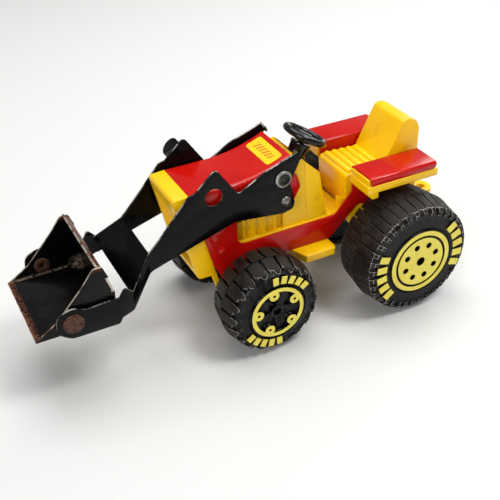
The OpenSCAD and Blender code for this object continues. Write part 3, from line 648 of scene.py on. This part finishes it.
def crown_of(radius, half_out, half_in):
    """The tyre's outline: radius in mm at a distance from the mid ridge, outward being positive."""
    marks = [(-half_in, radius - 1.6), (-3, radius - 0.5), (0, radius), (3, radius - 0.6),
             (half_out - 2.2, radius - 1.8), (half_out - 0.5, radius - 4)]

    def crown(out):
        for (a, low), (b, high) in zip(marks, marks[1:]):
            if out <= b:
                share = max(0.0, (out - a) / (b - a))
                return low + (high - low) * share
        return marks[-1][1]
    return crown


def tread_block(work, outline, crown, radius, shift, sink=2.2):
    """Raises an outline of (along the tread, out from the ridge) in mm on to the tyre's curve."""
    flat = bmesh.new()
    base = flat.faces.new([flat.verts.new((along, out, 0)) for along, out in outline])
    raised = bmesh.ops.extrude_face_region(flat, geom=[base])
    lifted = [item for item in raised["geom"] if isinstance(item, bmesh.types.BMVert)]
    bmesh.ops.translate(flat, vec=(0, 0, 1), verts=lifted)
    first, last = min(along for along, out in outline), max(along for along, out in outline)
    inner, outer = min(out for along, out in outline), max(out for along, out in outline)
    cuts = [((0, line, 0), (0, 1, 0)) for line in BEND_LINES if inner < line < outer]
    cuts += [((first + (last - first) * i / 3, 0, 0), (1, 0, 0)) for i in (1, 2)]
    for place, normal in cuts:
        bmesh.ops.bisect_plane(flat, geom=flat.verts[:] + flat.edges[:] + flat.faces[:], plane_co=place,
                               plane_no=normal)
    made = {}
    for vert in flat.verts:
        along, out, level = vert.co
        reach = crown(out) - (0 if level > 0.5 else sink)
        angle = (along + shift) / radius
        made[vert] = work.verts.new((reach * math.cos(angle), out, reach * math.sin(angle)))
    for face in flat.faces:
        work.faces.new([made[v] for v in face.verts])
    flat.free()


# %% Treads and tyre cores
# radius and width in mm, as the frame draws the wheels, and how many cells of tread go round
REAR_RADIUS, REAR_WIDTH, REAR_COUNT = 30, 27.4, 36
FRONT_RADIUS, FRONT_WIDTH, FRONT_COUNT = 24, 21.9, 20
RIDGE_AT = 0.52         # the ridge's distance in from the outer face, as a share of the width


def tread(node, blocks, count, finish, rim, soft_mm):
    """A full tread for one wheel, from the outlines of its outer and inner block."""
    low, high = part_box(node)
    side = -1 if low.y < 0 else 1
    radius = (high.z - low.z) / 2 / MM
    face_y = max(abs(low.y), abs(high.y)) / MM
    mid_y, width = wheel_middle(node)
    crown = crown_of(radius, face_y - mid_y, mid_y - (face_y - width))
    work = bmesh.new()
    for outline, shift in blocks:
        tread_block(work, outline, crown, radius, shift)
    for vert in work.verts:
        vert.co = Vector((vert.co.x, side * (mid_y + vert.co.y), vert.co.z)) * MM
    bmesh.ops.recalc_face_normals(work, faces=work.faces)
    mesh = bpy.data.meshes.new(node + "_tread")
    work.to_mesh(mesh)
    work.free()
    piece = put_in(node.replace("wheel", "tread"), mesh)
    mesh.materials.append(finish)
    mesh.materials.append(rim)
    bevel_edges(piece, soft_mm, 38, rim_slot=1)
    ring = piece.modifiers.new("ring", "NODES")
    ring.node_group = RING_TREE
    axle = (low + high) / 2
    for name, value in {"Count": count, "Axle": (axle.x, 0.0, low.z + radius * MM), "Finish": finish}.items():
        ring[RING_KEYS[name]] = value
    settle(piece)
    smooth_faces(piece, 30)
    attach(piece, body_of_node[node])
    print(f"{piece.name}: {count} cells, {len(piece.data.polygons)} faces")


def wheel_middle(node):
    """Where the ridge is and how wide the tyre is, in mm, as the frame's wheels are drawn."""
    width = REAR_WIDTH if node.startswith("rear") else FRONT_WIDTH
    low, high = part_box(node)
    return max(abs(low.y), abs(high.y)) / MM - width * RIDGE_AT, width


def tyre_core(node, finish, depth_mm, ridge_mm=0.3):
    """The wheel itself, drawn in over the tread, with the mould's ridge round its middle."""
    piece = welded(node)
    low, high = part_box(node)
    axle = Vector(((low.x + high.x) / 2, 0, (low.z + high.z) / 2))
    radius = (high.z - low.z) / 2
    side = -1 if low.y < 0 else 1
    mid_y = side * wheel_middle(node)[0] * MM
    shoulder = radius - 4.2 * MM        # the wheel is drawn in past here, fully so after the blend
    blend = 1.8 * MM
    work = bmesh.new()
    work.from_mesh(piece.data)
    for vert in work.verts:
        arm = Vector((vert.co.x - axle.x, 0, vert.co.z - axle.z))
        share = min(1.0, max(0.0, (arm.length - shoulder) / blend))
        drawn = arm.length - depth_mm * MM * share
        if arm.length > 0:
            arm *= drawn / arm.length
        vert.co = Vector((axle.x + arm.x, vert.co.y, axle.z + arm.z))
    steps = 144
    foot = -1.6                         # the ridge's foot is sunk in the wheel
    profile = [(-2 * ridge_mm, foot), (-ridge_mm, 0), (ridge_mm, 0), (2 * ridge_mm, foot)]
    rings = []
    for i in range(steps):
        angle = math.tau * i / steps
        rings.append([work.verts.new((
            axle.x + (radius + rise * MM) * math.cos(angle), mid_y + out * MM,
            axle.z + (radius + rise * MM) * math.sin(angle),
        )) for out, rise in profile])
    band = []
    for a, b in zip(rings, rings[1:] + rings[:1]):
        for j in range(len(profile)):
            k = (j + 1) % len(profile)
            band.append(work.faces.new([a[j], b[j], b[k], a[k]]))
            band[-1].material_index = 1
    bmesh.ops.recalc_face_normals(work, faces=band)
    work.to_mesh(piece.data)
    work.free()
    piece.data.materials.clear()
    piece.data.materials.append(finish)
    piece.data.materials.append(RIDGE)
    bevel_edges(piece, 0.18, 45)
    settle(piece)
    smooth_faces(piece, 30)
    take_over(piece, node)


# %% [markdown]
# ## The four tyres
# The rear tyre has thirty-six narrow blocks on each side of its ridge, and its shoulder is notched
# like a battlement, a step to every half block. The front tyre is coarser: twenty lugs, whose outer
# ends are rounded tongues that hang over the shoulder. Both are scuffed pale where the corners rub.

# %% Rear and front treads
def tongue(half_width, tip_half, step_out, tip_out, near):
    """A lug's outline: a step on one side, and a rounded tongue on the other."""
    nick = 0.8
    tip_mid, tip_centre = -half_width + tip_half, tip_out - tip_half
    turns = [math.radians(degrees) for degrees in range(0, 181, 30)]
    tip = [(tip_mid + tip_half * math.cos(turn), tip_centre + tip_half * math.sin(turn)) for turn in turns]
    return [(-half_width, near), (half_width, near), (half_width, step_out - nick),
            (half_width - nick, step_out), (tip_mid + tip_half, step_out)] + tip


def plain_block(half, near, reach):
    """The outline of a block on the inner side of the ridge."""
    return [(-half, -reach), (half, -reach), (half, -near), (-half, -near)]


rear_pitch = math.tau * REAR_RADIUS / REAR_COUNT
half, near, notch = 2.2, 0.45, 1.5
out = REAR_WIDTH * RIDGE_AT - 0.9
castle = [(-half, near), (half, near), (half, out - notch), (0, out - notch), (0, out), (-half, out)]
plain = plain_block(half, near, REAR_WIDTH * (1 - RIDGE_AT) - 0.3)
for node in ("rear_wheel_left", "rear_wheel_right"):
    tyre_core(node, TYRE, 0.9)
    tread(node, [(castle, 0), (plain, rear_pitch / 2)], REAR_COUNT, TREAD, REAR_SCUFFS, 0.24)

front_pitch = math.tau * FRONT_RADIUS / FRONT_COUNT
half, near, tip_half = 2.95, 0.5, 1.9
out = FRONT_WIDTH * RIDGE_AT - 1.0
lug = tongue(half, tip_half, out - tip_half, out, near)
plain = plain_block(half, near, FRONT_WIDTH * (1 - RIDGE_AT) - 0.3)
for node in ("front_wheel_left", "front_wheel_right"):
    tyre_core(node, TYRE, 1.3)
    tread(node, [(lug, 0), (plain, front_pitch / 2)], FRONT_COUNT, TREAD, FRONT_SCUFFS, 0.38)

# %% [markdown]
# ## Floor and light
# The toy stands on a broad pale floor, whose far edge only shows from low down. Four soft lights
# do the work of a studio: a broad one overhead, a smaller key that stands where the long folds
# throw it back as a bright line, a fill from the front that opens the nose and wheels, and a rim
# from behind for the far edges. The world adds a little even light, so that no shadow is quite
# black. Colours are shown by the Standard view, which keeps the paint's own saturation.

# %% Floor
def pale_floor(half_size=4.0):
    mesh = bpy.data.meshes.new("studio_floor")
    work = bmesh.new()
    corners = [(-1, -1), (1, -1), (1, 1), (-1, 1)]
    work.faces.new([work.verts.new((x * half_size, y * half_size, cad_box[0].z)) for x, y in corners])
    work.to_mesh(mesh)
    work.free()
    floor = put_in("studio_floor", mesh)
    card = start_material("pale card backdrop", **{"Base Color": linear("#DADAD8"), "Roughness": 0.75})[0]
    mesh.materials.append(card)
    print("floor, half size in m:", half_size)


pale_floor()


# %% Light
def soft_light(name, place, aim, size, watts):
    """A square area light at place, turned to face aim."""
    light = bpy.data.lights.new(name, "AREA")
    light.shape = "SQUARE"
    light.size = size
    light.energy = watts
    lamp = put_in(name, light)
    lamp.matrix_world = Matrix.Translation(place) @ (
        (Vector(aim) - Vector(place)).to_track_quat("-Z", "Y").to_matrix().to_4x4()
    )


middle = (cad_box[0] + cad_box[1]) / 2
soft_light("overhead_soft_box", (0.05, 0.25, 0.95), middle, 0.7, 6.0)
soft_light("fold_key", (0.36, -0.30, 0.88), middle, 0.28, 4.5)
soft_light("front_fill", (-0.85, -0.60, 0.50), middle, 0.5, 5.0)
soft_light("rear_rim", (0.75, 0.35, 0.5), middle, 0.4, 2.5)

world = bpy.data.worlds.new("studio_air")
world.use_nodes = True
background = world.node_tree.nodes["Background"]
background.inputs["Color"].default_value = linear("#F4F6F8")
background.inputs["Strength"].default_value = 0.3
bpy.context.scene.world = world
bpy.context.scene.view_settings.view_transform = "Standard"
print("lights:", len(bpy.data.lights))

# %% [markdown]
# ## Camera
# The camera looks down on the toy from its front left. It looks across the toy and a little towards
# its rear, dips below level, and leans slightly about its own axis. The lens is longish, so that
# near and far parts keep nearly the same scale.

# %% Camera
lens = bpy.data.cameras.new("camera")
lens.lens = 60.2
lens.sensor_width = 36
camera = put_in("camera", lens)
heading, dip, lean = (math.radians(angle) for angle in (26.5, 34.5, -1.5))
camera.matrix_world = (
    Matrix.Translation((-0.1494, -0.3050, 0.2653)) @ Matrix.Rotation(-heading, 4, "Z")
    @ Matrix.Rotation(math.pi / 2 - dip, 4, "X") @ Matrix.Rotation(lean, 4, "Z")
)
bpy.context.scene.camera = camera
